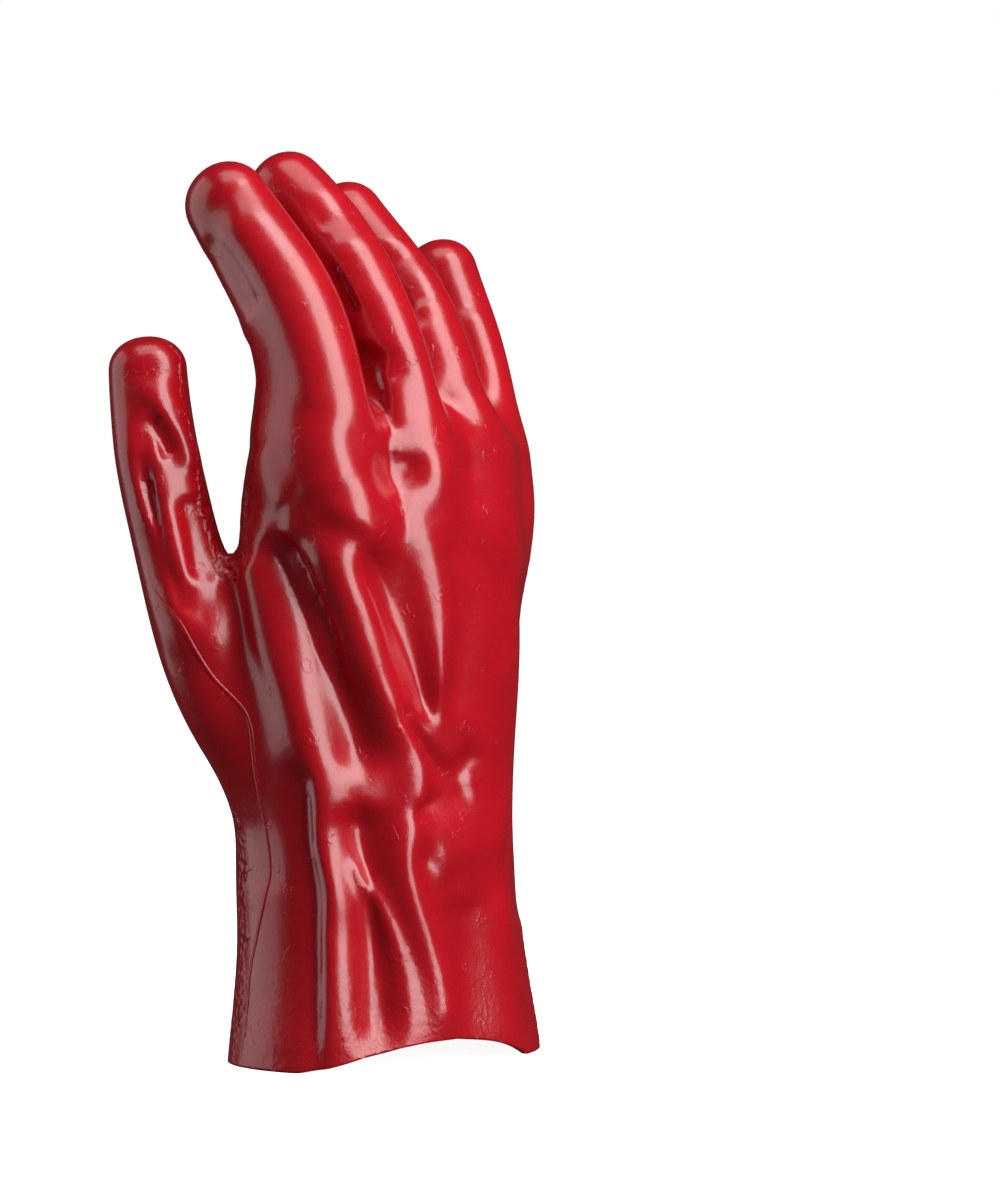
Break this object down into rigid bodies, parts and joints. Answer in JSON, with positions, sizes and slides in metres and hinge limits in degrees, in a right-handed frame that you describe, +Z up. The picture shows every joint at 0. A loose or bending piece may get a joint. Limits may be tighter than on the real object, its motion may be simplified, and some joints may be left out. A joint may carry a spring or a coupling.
{
  "type": "work glove",
  "caption": "Hollow right-hand work glove in glossy dipped PVC with an open cuff and slightly curled fingers, standing on its hem.",
  "frame": {"origin": "on the ground under the middle of the glove's bounding box", "axes": "+Z up from the hem to the fingertips, -Y towards the back of the hand, +Y towards the palm, -X towards the thumb"},
  "size_m": [0.1302, 0.0852, 0.2605],
  "materials": {
    "pvc_red": "glossy red PVC with fine grain"
  },
  "bodies": {
    "root": {"glove_shell": "pvc_red"}
  },
  "joints": []
}
